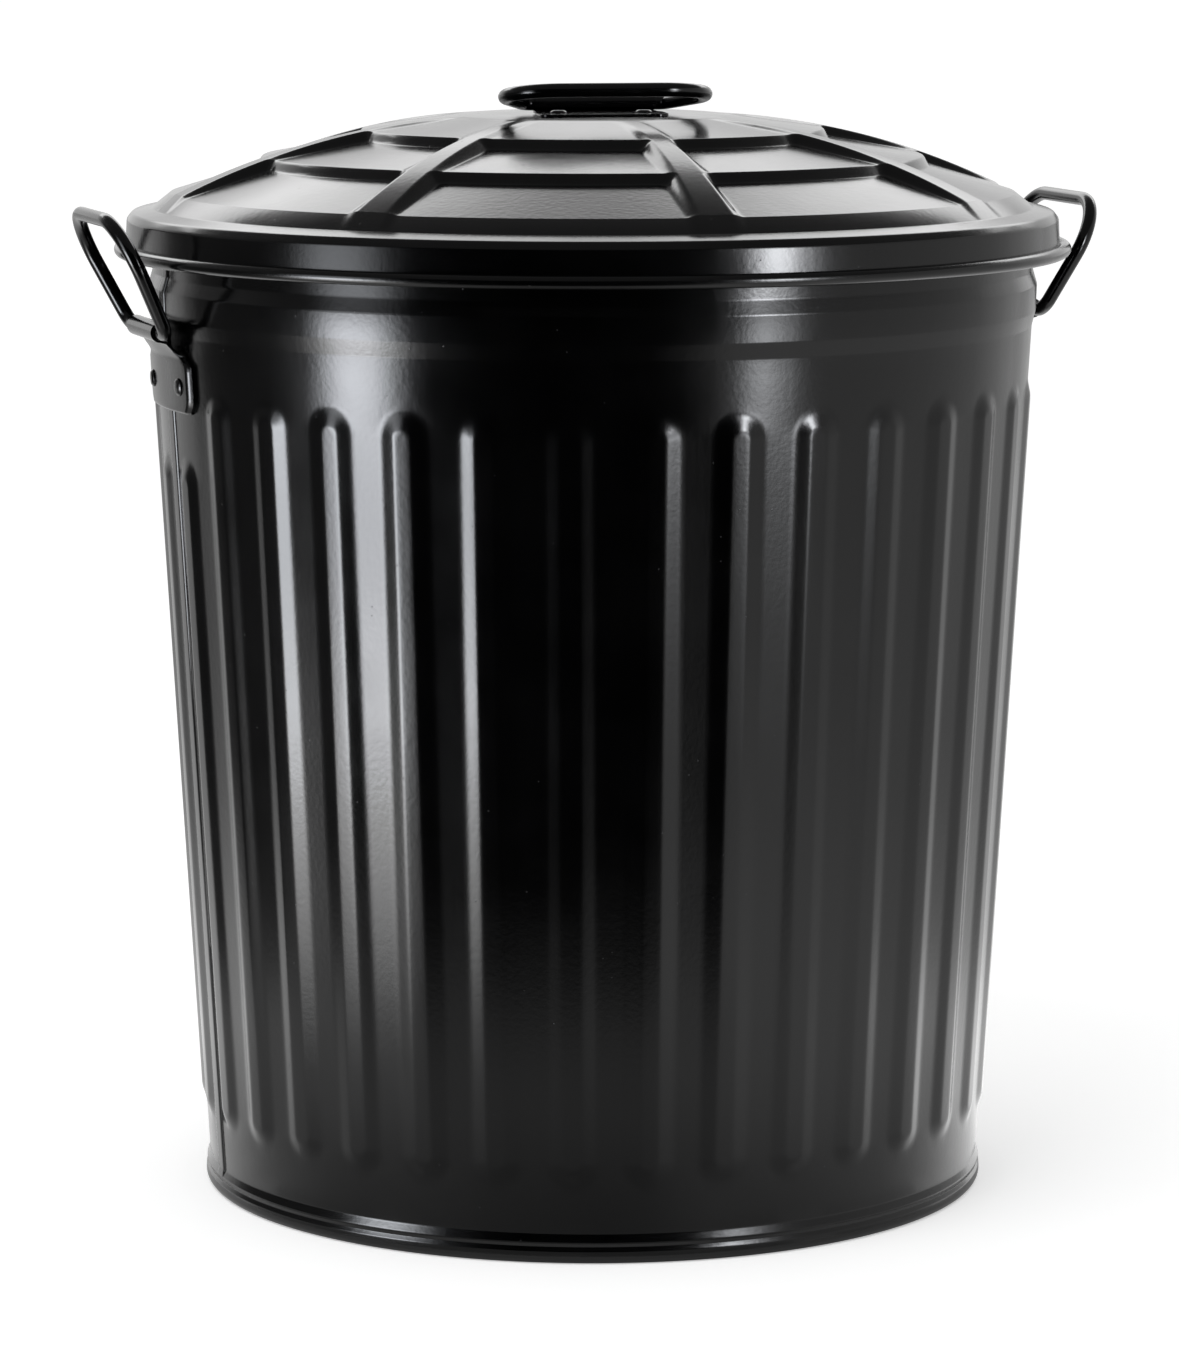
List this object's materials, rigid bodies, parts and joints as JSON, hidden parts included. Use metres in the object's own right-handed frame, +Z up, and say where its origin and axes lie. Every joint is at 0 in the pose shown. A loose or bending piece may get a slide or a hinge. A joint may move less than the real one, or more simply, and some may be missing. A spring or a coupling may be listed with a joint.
{
  "type": "trash can",
  "caption": "Round tapered trash can in black painted sheet steel, with upright flutes, a loop handle on each side and a stepped, domed lid that lifts off by its own loop handle.",
  "frame": {"origin": "on the floor, under the centre of the can", "axes": "+Z up; the two side handles are at -X and +X; -Y is the side nearest to the picture's viewpoint"},
  "size_m": [0.469, 0.4322, 0.5034],
  "materials": {
    "black_paint": "gloss",
    "steel_wire": "drawn wire"
  },
  "bodies": {
    "can": {"body_shell": "black_paint", "rim_wire": "steel_wire", "base_pan": "black_paint", "handle_ear_left": "black_paint", "handle_ear_right": "black_paint", "ear_rivet_left_front": "black_paint", "ear_rivet_left_rear": "black_paint", "ear_rivet_right_front": "black_paint", "ear_rivet_right_rear": "black_paint"},
    "lid": {"lid_shell": "black_paint", "lid_rim_wire": "steel_wire", "lid_handle_clip": "black_paint", "lid_rivet_left": "black_paint", "lid_rivet_right": "black_paint"},
    "lid_handle": {"lid_handle": "black_paint"},
    "handle_left": {"handle_left": "black_paint"},
    "handle_right": {"handle_right": "black_paint"}
  },
  "joints": [
    {"name": "lid_lift", "type": "slide", "parent": "can", "child": "lid", "axis": [0, 0, 1], "range_m": [0, 0.12]},
    {"name": "lid_handle_hinge", "type": "hinge", "parent": "lid", "child": "lid_handle", "pos_m": [-0.00065, -0.00395, 0.492], "axis": [-0.9866, 0.1633, 0], "range_deg": [-8, 170]},
    {"name": "handle_left_hinge", "type": "hinge", "parent": "can", "child": "handle_left", "pos_m": [-0.207, 0, 0.3955], "axis": [0, -1, 0], "range_deg": [-8, 152]},
    {"name": "handle_right_hinge", "type": "hinge", "parent": "can", "child": "handle_right", "pos_m": [0.207, 0, 0.3955], "axis": [0, 1, 0], "range_deg": [-8, 152]}
  ]
}
